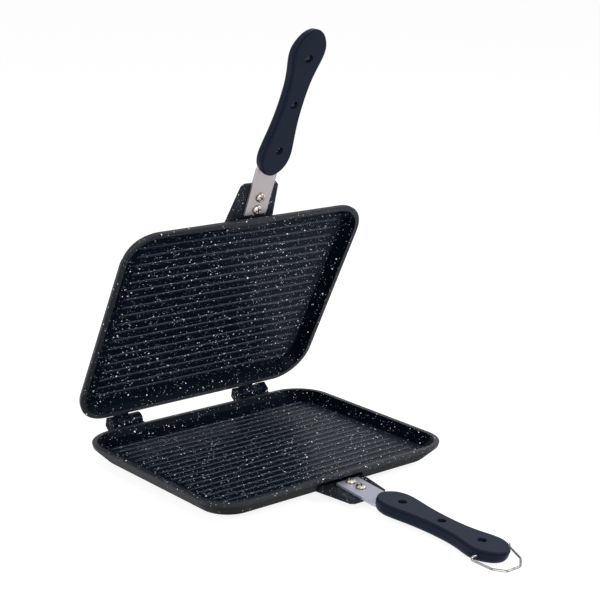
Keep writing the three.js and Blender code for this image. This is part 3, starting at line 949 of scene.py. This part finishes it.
def tangTop(distance):
    straight = -tangSizes["drop"] - distance * math.tan(tangSizes["slope"])
    seated = -gripSizes["faceDrop"] - gripSizes["tangSeatDepth"] - distance * math.tan(gripSizes["tilt"])
    share = (distance - tangSizes["bendStart"]) / (tangSizes["bendEnd"] - tangSizes["bendStart"])
    share = min(max(share, 0), 1)
    return straight + (seated - straight) * (3 - 2 * share) * share * share


# Square to the sloping tang, at this distance from the given start of the handle
def tangScrewPlace(distance, start=(0, 0, 0)):
    x, y, z = start
    seat = Matrix.Translation((x, y - distance, z + tangTop(distance)))
    return seat @ Matrix.Rotation(tangSizes["slope"], 4, "X")


def screwHole(screw, low, high, place, looks):
    return moved(rodAlongZ("hole", screw["shank"] + screw["gap"], holeSides, low, high, looks), place)


def stripRing(reach, distance, low, top):
    corners = ((reach, low), (reach, top), (-reach, top), (-reach, low))
    return [(x, -distance, z) for x, z in corners]


def tang(half):
    steel = tangPaintedTintSteels[half]
    wide, tail = tangSizes["width"] / 2, tangSizes["tailWidth"] / 2
    bend = tangSizes["bendEnd"] - tangSizes["bendStart"]
    steps = tangSizes["bendSteps"]
    stations = [tangSizes["start"], tangSizes["neckStart"]]
    stations += [tangSizes["bendStart"] + bend * step / steps for step in range(steps + 1)]
    stations.append(tangSizes["tailEnd"])
    rings = []
    for distance in stations:
        share = (distance - tangSizes["neckStart"]) / (tangSizes["neckEnd"] - tangSizes["neckStart"])
        reach = wide + (tail - wide) * min(max(share, 0), 1)
        top = tangTop(distance)
        rings.append(stripRing(reach, distance, top - tangSizes["thickness"], top))
    strip = skinRings(half + "TangStrip", rings, (steel,))
    softenEdges(strip, tangSizes["edge"], edgeShape["wideLimit"])
    low, high = tangSizes["holeEnds"]
    holes = [screwHole(tangScrews, low, high, tangScrewPlace(distance), (steel,))
             for distance in tangScrews["places"]]
    holes += [screwHole(gripScrews, -gripSizes["thickness"], 0, gripPlace() @ atDistance(distance), (steel,))
              for distance in gripScrews["places"]]
    combine(strip, holes, "DIFFERENCE")
    finishShape(strip, handlePlace(half))
    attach(strip, half)
    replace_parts(strip, half + "_tang")


gripSizes = {
    "faceDrop": 2.53,
    "tilt": math.radians(1.84),
    "start": 45.2,
    "length": 150.5,
    "halfWidth": 17,
    "thickness": 12.2,
    "endSlant": 4.5,
    "coverThickness": 2,
    "coverRound": 1.3,
    "coverStep": 0.6,
    "lipEdgeShare": 0.3,
    "bodyRound": 5,
    "tangSeatDepth": 5.6,
    "coverCoreStart": 62,
    "slotStart": 40,
    "gap": 0.3,
    "capMargin": 1,  # from a round to the ring that keeps its flat face flat
    "outlineSteps": 5,
    "roundSteps": 8,
}

# Half-widths along the grip, as shares of its length and of its widest half-width
gripOutlineShares = [
    (0, 0), (0.004, 0.2), (0.016, 0.42), (0.038, 0.66), (0.07, 0.84), (0.11, 0.945), (0.15, 0.97),
    (0.2, 0.93), (0.26, 0.85), (0.33, 0.76), (0.41, 0.69), (0.5, 0.655), (0.58, 0.66), (0.65, 0.7),
    (0.72, 0.8), (0.78, 0.92), (0.83, 0.99), (0.87, 0.985), (0.91, 0.88), (0.95, 0.68), (0.98, 0.44),
    (0.995, 0.2), (1, 0),
]

gripScrews = {
    "places": (72.4, 120.1, 166.7),
    "shank": 2,
    "head": 3.6,
    "headHeight": 1.9,
    "length": 6.4,
    "seat": 4.4,
    "end": 10.8,
    "turns": (10, 40, 65),
    "gap": 0.3,  # round the shank
    "endOver": 0.4,  # from the hole's end in the body
    "coverOver": 1,  # from the cover's seat and face to the ends of the cut through it
    "holeEdge": 0.5,
    "holeEdgeShare": 0.3,
}


# The grip's own frame in the handle's: its face is at zero height
def gripPlace():
    return Matrix.Translation((0, 0, -gripSizes["faceDrop"])) @ Matrix.Rotation(gripSizes["tilt"], 4, "X")


# Smooth closed outline through points, with extra points between them
def smoothOutline(points, steps):
    count = len(points)
    smooth = []
    for index in range(count):
        before, start, end, after = (points[(index + shift) % count] for shift in (-1, 0, 1, 2))
        gapBefore, gap, gapAfter = (start - before).length, (end - start).length, (after - end).length
        leaving = ((start - before) / gapBefore * gap + (end - start) / gap * gapBefore) / (gapBefore + gap)
        arriving = ((end - start) / gap * gapAfter + (after - end) / gapAfter * gap) / (gap + gapAfter)
        for step in range(steps):
            t = step / steps
            smooth.append(start * (2 * t ** 3 - 3 * t ** 2 + 1) + leaving * gap * (t ** 3 - 2 * t ** 2 + t)
                          + end * (3 * t ** 2 - 2 * t ** 3) + arriving * gap * (t ** 3 - t ** 2))
    return smooth


def gripRing(inset, depth):
    length = gripSizes["length"] - gripSizes["endSlant"] * depth / gripSizes["thickness"]
    right = [Vector((across * gripSizes["halfWidth"], -gripSizes["start"] - along * length))
             for along, across in gripOutlineShares]
    left = [Vector((-point.x, point.y)) for point in reversed(right[1:-1])]
    outline = smoothOutline(list(reversed(right + left)), gripSizes["outlineSteps"])
    for point in outline:
        point.y = min(max(point.y, -gripSizes["start"] - length), -gripSizes["start"])
    count = len(outline)
    ring = []
    for index, point in enumerate(outline):
        along = (outline[(index + 1) % count] - outline[index - 1]).normalized()
        ring.append((point.x - along.y * inset, point.y + along.x * inset, -depth))
    return ring


def quarterRound(radius, steps):
    turns = [math.pi / 2 * step / steps for step in range(steps + 1)]
    return [(radius * (1 - math.sin(turn)), radius * (1 - math.cos(turn))) for turn in turns]


def gripCover(half):
    step, edgeRound = gripSizes["coverStep"], gripSizes["coverRound"]
    gap, seat = gripSizes["gap"], gripSizes["tangSeatDepth"]
    rings = [gripRing(step, gripSizes["coverThickness"])]
    for depth, inset in quarterRound(edgeRound, gripSizes["roundSteps"]):
        rings.append(gripRing(step + inset, depth))
    rings.append(gripRing(step + edgeRound + gripSizes["capMargin"], 0))
    cover = skinRings(half + "GripCover", rings, (resin,))
    lengths = (-gripSizes["coverCoreStart"], -tangSizes["tailEnd"] + gap)
    core = block("core", tangSizes["tailWidth"] / 2, lengths, (-seat + gap, -edgeRound), (resin,))
    combine(cover, [core], "UNION")
    wide, narrow = gripScrews["head"] + gap, gripScrews["shank"] + gap
    edge, over = gripScrews["holeEdge"], gripScrews["coverOver"]
    turned = edge * gripScrews["holeEdgeShare"]
    profile = [(narrow, -seat - over), (narrow, -gripScrews["seat"]), (wide, -gripScrews["seat"]),
               (wide, -edge), (wide + turned, -turned), (wide + edge, 0), (wide + edge, over)]
    holes = [moved(spun("hole", profile, roundSides, (resin,)), atDistance(distance))
             for distance in gripScrews["places"]]
    combine(cover, holes, "DIFFERENCE")
    finishGripPiece(cover, half, "_grip_cover")


def finishGripPiece(piece, half, node):
    finishShape(piece, handlePlace(half) @ gripPlace())
    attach(piece, half)
    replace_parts(piece, half + node)


def gripBody(half):
    gap, thickness = gripSizes["gap"], gripSizes["thickness"]
    split = gripSizes["coverThickness"] + gap
    lip = gripSizes["coverStep"] / 2
    turned = lip * gripSizes["lipEdgeShare"]
    rings = [gripRing(gripSizes["bodyRound"] + gripSizes["capMargin"], thickness)]
    rings += [gripRing(inset, thickness - rise)
              for inset, rise in quarterRound(gripSizes["bodyRound"], gripSizes["roundSteps"])]
    rings += [gripRing(0, split + lip), gripRing(turned, split + turned), gripRing(lip, split)]
    body = skinRings(half + "GripBody", rings, (resin,))
    lengths = (-gripSizes["coverCoreStart"] + gap, -tangSizes["tailEnd"] - gap)
    pocketFloor = -(gripSizes["tangSeatDepth"] + tangSizes["thickness"] + gap)
    pocket = block("pocket", tangSizes["tailWidth"] / 2 + gap, lengths, (pocketFloor, 0), (resin,))
    cuts = [pocket, tangSlot()]
    low = -gripScrews["end"] - gripScrews["endOver"]
    cuts += [screwHole(gripScrews, low, 0, atDistance(distance), (resin,))
             for distance in gripScrews["places"]]
    if half == "lower":
        cuts += [hookBore(side) for side in (-1, 1)]
    combine(body, cuts, "DIFFERENCE")
    finishGripPiece(body, half, "_grip_body")


# The slot that takes the tang, in the grip's frame
def tangSlot():
    gap = gripSizes["gap"]
    wide, tail = tangSizes["width"] / 2 + gap, tangSizes["tailWidth"] / 2 + gap
    stations = [(gripSizes["slotStart"], wide), (tangSizes["neckStart"], wide),
                (tangSizes["neckEnd"], tail), (tangSizes["bendEnd"], tail)]
    rings = []
    for distance, reach in stations:
        top = tangTop(distance) + gap
        rings.append(stripRing(reach, distance, top - tangSizes["thickness"] - gap * 2, top))
    return moved(skinRings("slot", rings, (resin,)), gripPlace().inverted())


# The head's crown is a power curve. Shares are of the head's radius or height, or of the shank's radius.
screwShape = {
    "sides": 40,
    "crownSteps": 8,
    "headEdge": 0.3,
    "tipShare": 0.5,
    "tipHeightShare": 0.4,
    "topShare": 0.04,
    "crownPower": 0.6,
    "brimShare": 0.42,
    "crossWidth": 1.25,
    "crossReachShare": 0.68,
    "crossDepthShare": 0.6,
    "crossLowShare": 0.55,  # of its reach, at the bottom of the cross and over the head
    "crossHighShare": 1.1,
    "crossOver": 0.5,
}


# A pan-head screw with a cross recess, its head's underside at zero height
def screwBlank(name, screw):
    shape = screwShape
    shank, head, high = screw["shank"], screw["head"], screw["headHeight"]
    edge, steps, top = shape["headEdge"], shape["crownSteps"], shape["topShare"]
    profile = [(shank * shape["tipShare"], -screw["length"]),
               (shank, -screw["length"] + shank * shape["tipHeightShare"]),
               (shank, 0), (head - edge, 0), (head, edge)]
    for step in range(steps + 1):
        angle = math.pi / 2 * step / steps
        across = (1 - top) * math.cos(angle) ** shape["crownPower"] if step < steps else 0
        rise = shape["brimShare"] + (1 - shape["brimShare"]) * math.sin(angle)
        profile.append((head * (top + across), high * rise))
    blank = spun(name, profile, shape["sides"], screwLooks)
    depth = high * shape["crossDepthShare"]
    reach, width = head * shape["crossReachShare"], shape["crossWidth"] / 2
    levels = ((high - depth, reach * shape["crossLowShare"]),
              (high + shape["crossOver"], reach * shape["crossHighShare"]))
    rings = [[(across, width, z), (-across, width, z), (-across, -width, z), (across, -width, z)]
             for z, across in levels]
    cuts = []
    for turn in (0, math.pi / 2):
        cross = skinRings("cross", rings, screwLooks, lambda band: screwLooks.index(recessPaintedShadeSteel))
        cuts.append(moved(cross, Matrix.Rotation(turn, 4, "Z")))
    return combine(blank, cuts, "DIFFERENCE")


# Copies of one screw at the points of a mesh, turned by the points' own attribute
def screwTree():
    inputs = {"places": "Geometry", "screw": "Object", "look": "Material"}
    tree, keys, given = geometryTree("screwRow", inputs, "screws")
    master = addNode(tree, "GeometryNodeObjectInfo", {"Object": given["screw"]})
    angles = addNode(tree, "FunctionNodeEulerToRotation", {
        "Euler": namedAttribute(tree, "turn", "FLOAT_VECTOR")})
    copies = addNode(tree, "GeometryNodeInstanceOnPoints", {
        "Points": given["places"], "Instance": master.outputs["Geometry"],
        "Rotation": angles.outputs["Rotation"]})
    # The recess keeps its own darker look, painted shade in the cross
    index = addNode(tree, "GeometryNodeInputMaterialIndex").outputs[0]
    outside = addNode(tree, "FunctionNodeCompare", {2: index}, data_type="INT", operation="EQUAL")
    paintedOutput(tree, copies.outputs["Instances"], given["look"], outside.outputs[0])
    return tree, keys


screwRow, screwKeys = screwTree()


def screws(half, kind, screw, look, seats):
    seats = [seat @ Matrix.Rotation(math.radians(turn), 4, "Z") for seat, turn in zip(seats, screw["turns"])]
    master = screwBlank(kind + "Master", screw)
    places = emptyObject(half + kind)
    places.data.from_pydata([seat.to_translation() for seat in seats], [], [])
    setPointValues(places, "turn", "FLOAT_VECTOR", "vector", [tuple(seat.to_euler("XYZ")) for seat in seats])
    grown(places, screwRow, screwKeys, {"screw": master, "look": look})
    discard(master)
    finishShape(places, handlePlace(half))
    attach(places, half)
    return places


def handleScrews(half):
    tangSeats = [tangScrewPlace(distance, (0, 0, tangSizes["gap"])) for distance in tangScrews["places"]]
    tangSet = screws(half, "TangScrews", tangScrews, screwSteel, tangSeats)
    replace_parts(tangSet, half + "_tang_screw_1", half + "_tang_screw_2")
    height = -gripScrews["seat"] + gripSizes["gap"]
    gripSeats = [gripPlace() @ atDistance(distance, height) for distance in gripScrews["places"]]
    gripSet = screws(half, "GripScrews", gripScrews, darkSteel, gripSeats)
    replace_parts(gripSet, *(half + "_grip_screw_" + str(index) for index in (1, 2, 3)))


hookSizes = {
    "wireRadius": 1.02,
    "pivotPlace": 177.4,
    "pivotDepth": 5,
    "droop": math.radians(10.5),
    "tailReach": 10.2,
    "shoulder": 22.2,
    "elbowDrop": 2.7,
    "legRun": 17.9,
    "legEndHalf": 17.2,
    "slantRun": 8.4,
    "barHalf": 8.1,
    "tightBend": 1.9,
    "wideBend": 6,
    "bendSteps": 10,
    "sides": 16,
    "boreSides": 32,
    "sharp": 60,
}


# The hook's pivot in the grip's frame
def hookPivot():
    return atDistance(hookSizes["pivotPlace"], -hookSizes["pivotDepth"])


def hookBore(side):
    gap = gripSizes["gap"]
    ends = sorted((side * (hookSizes["tailReach"] - gap), side * (gripSizes["halfWidth"] + cutOver)))
    bore = rodAlongX("bore", hookSizes["wireRadius"] + gap, hookSizes["boreSides"], *ends, (resin,))
    return moved(bore, hookPivot())


# A round wire along a path whose corners are bent by the points' own attribute
def wireTree():
    inputs = {"path": "Geometry", "radius": "Float", "sides": "Int", "look": "Material"}
    tree, keys, given = geometryTree("bentWire", inputs, "wire")
    curve = addNode(tree, "GeometryNodeMeshToCurve", {"Mesh": given["path"]})
    rounded = addNode(tree, "GeometryNodeFilletCurve", {
        "Curve": curve.outputs["Curve"], "Radius": namedAttribute(tree, "bend", "FLOAT"),
        "Count": hookSizes["bendSteps"], "Limit Radius": True,
    }, mode="POLY")
    section = addNode(tree, "GeometryNodeCurvePrimitiveCircle", {
        "Resolution": given["sides"], "Radius": given["radius"]})
    wire = addNode(tree, "GeometryNodeCurveToMesh", {
        "Curve": rounded.outputs["Curve"], "Profile Curve": section.outputs["Curve"], "Fill Caps": True})
    paintedOutput(tree, wire.outputs["Mesh"], given["look"])
    return tree, keys


def wireHook():
    shoulder, low = hookSizes["shoulder"], -hookSizes["elbowDrop"]
    end = -hookSizes["legRun"] - hookSizes["slantRun"]
    right = [(hookSizes["tailReach"], 0, 0), (shoulder, 0, 0), (shoulder, 0, low),
             (hookSizes["legEndHalf"], -hookSizes["legRun"], low), (hookSizes["barHalf"], end, low)]
    tight, wide = hookSizes["tightBend"], hookSizes["wideBend"]
    bends = [0, tight, tight, wide, wide]
    points = right + [(-x, y, z) for x, y, z in reversed(right)]
    wire = emptyObject("wireHook")
    wire.data.from_pydata(points, [(index, index + 1) for index in range(len(points) - 1)], [])
    setPointValues(wire, "bend", "FLOAT", "value", bends + bends[::-1])
    tree, keys = wireTree()
    grown(wire, tree, keys, {
        "radius": hookSizes["wireRadius"], "sides": hookSizes["sides"], "look": wireSteel})
    droop = Matrix.Rotation(hookSizes["droop"] - gripSizes["tilt"], 4, "X")
    finishShape(wire, handlePlace("lower") @ gripPlace() @ hookPivot() @ droop, hookSizes["sharp"])
    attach(wire, "hook")
    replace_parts(wire, "wire_hook")


for half in halves:
    plate(half)
print("plates made")

for half in halves:
    tang(half)
    gripCover(half)
    gripBody(half)
    handleScrews(half)
print("handles made")

wireHook()
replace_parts(hingePin("leftHingePin", -1), "hinge_pin_left")
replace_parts(hingePin("rightHingePin", 1), "hinge_pin_right")
print("hook and pins made")


# Floor, light and camera

# Camera, mirror and glass rays see the background white, and other rays see its own light.
def seenRays(tree):
    rays = addNode(tree, "ShaderNodeLightPath").outputs
    seen = calculated(tree, "MAXIMUM", rays["Is Camera Ray"], rays["Is Glossy Ray"])
    return calculated(tree, "MAXIMUM", seen, rays["Is Transmission Ray"])


white = (1, 1, 1, 1)
floorLook = {"size": 12, "albedo": 0.35, "glow": 0.84}


def makeFloor():
    half = floorLook["size"] / 2
    corners = [(-half, -half, 0), (half, -half, 0), (half, half, 0), (-half, half, 0)]
    ground = emptyObject("floor")
    ground.data.from_pydata(corners, [], [(0, 1, 2, 3)])
    material, tree, shader = newMaterial("paleFloor")
    tree.nodes.remove(shader)
    paper = addNode(tree, "ShaderNodeBsdfDiffuse", {"Color": (floorLook["albedo"],) * 3 + (1,)})
    strength = calculated(tree, "MULTIPLY", seenRays(tree), floorLook["glow"])
    glow = addNode(tree, "ShaderNodeEmission", {"Color": white, "Strength": strength})
    both = addNode(tree, "ShaderNodeAddShader", {0: paper.outputs[0], 1: glow.outputs[0]})
    setInputs(tree, tree.nodes["Material Output"], {"Surface": both.outputs[0]})
    ground.data.materials.append(material)


# Angles in degrees, distances in metres, lens and sensor in millimetres
cameraView = {
    "azimuth": -40.3655,
    "elevation": 14.7137,
    "roll": 1.1570,
    "distance": 1.425075,
    "lens": 93.62,
    "sensor": 36,
    "target": (0.011296, -0.032118, 0.163458),
    "farthest": 100,
}


def makeCamera():
    azimuth, elevation, roll = (math.radians(cameraView[key]) for key in ("azimuth", "elevation", "roll"))
    back = Vector((math.sin(azimuth) * math.cos(elevation), -math.cos(azimuth) * math.cos(elevation),
                   math.sin(elevation)))
    level = Vector((0, 0, 1)).cross(back).normalized()
    upright = back.cross(level)
    right = level * math.cos(roll) + upright * math.sin(roll)
    up = upright * math.cos(roll) - level * math.sin(roll)
    lens = bpy.data.cameras.new("camera")
    lens.lens = cameraView["lens"]
    lens.sensor_width = cameraView["sensor"]
    lens.clip_end = cameraView["farthest"]
    holder = linked(bpy.data.objects.new("camera", lens))
    holder.matrix_world = Matrix((right, up, back)).transposed().to_4x4()
    holder.matrix_world.translation = Vector(cameraView["target"]) + back * cameraView["distance"]
    bpy.context.scene.camera = holder


# Lamps are aimed at the camera's target.
lighting = {
    "world": 0.4,
    "lamps": {
        "topLight": {"power": 5, "size": 1.2, "place": (-0.35, -0.15, 2.1)},
        "ribLight": {"power": 14, "size": 0.5, "place": (1.17, -1.23, 1.26)},
        "sideLight": {"power": 12, "size": 1.0, "place": (-1.9, 0.3, 0.8)},
        "frontLight": {"power": 38, "size": 1.2, "place": (-0.7, -1.9, 0.3)},
    },
}


def makeWorld():
    world = bpy.data.worlds.new("studio")
    bpy.context.scene.world = world
    world.use_nodes = True
    tree = world.node_tree
    tree.nodes.clear()
    soft = addNode(tree, "ShaderNodeBackground", {"Color": white, "Strength": lighting["world"]})
    plain = addNode(tree, "ShaderNodeBackground", {"Color": white, "Strength": 1})
    mix = addNode(tree, "ShaderNodeMixShader", {
        "Fac": seenRays(tree), 1: soft.outputs[0], 2: plain.outputs[0]})
    addNode(tree, "ShaderNodeOutputWorld", {"Surface": mix.outputs[0]})


def areaLamp(name, place, size, power):
    lamp = bpy.data.lights.new(name, "AREA")
    lamp.shape = "SQUARE"
    lamp.size = size
    lamp.energy = power
    holder = linked(bpy.data.objects.new(name, lamp))
    holder.location = place
    aim = Vector(cameraView["target"]) - Vector(place)
    holder.rotation_euler = aim.to_track_quat("-Z", "Y").to_euler()


makeFloor()
makeWorld()
for lampName, lamp in lighting["lamps"].items():
    areaLamp(lampName, lamp["place"], lamp["size"], lamp["power"])
makeCamera()
bpy.context.scene.view_settings.view_transform = "Standard"
print("floor, light and camera made")
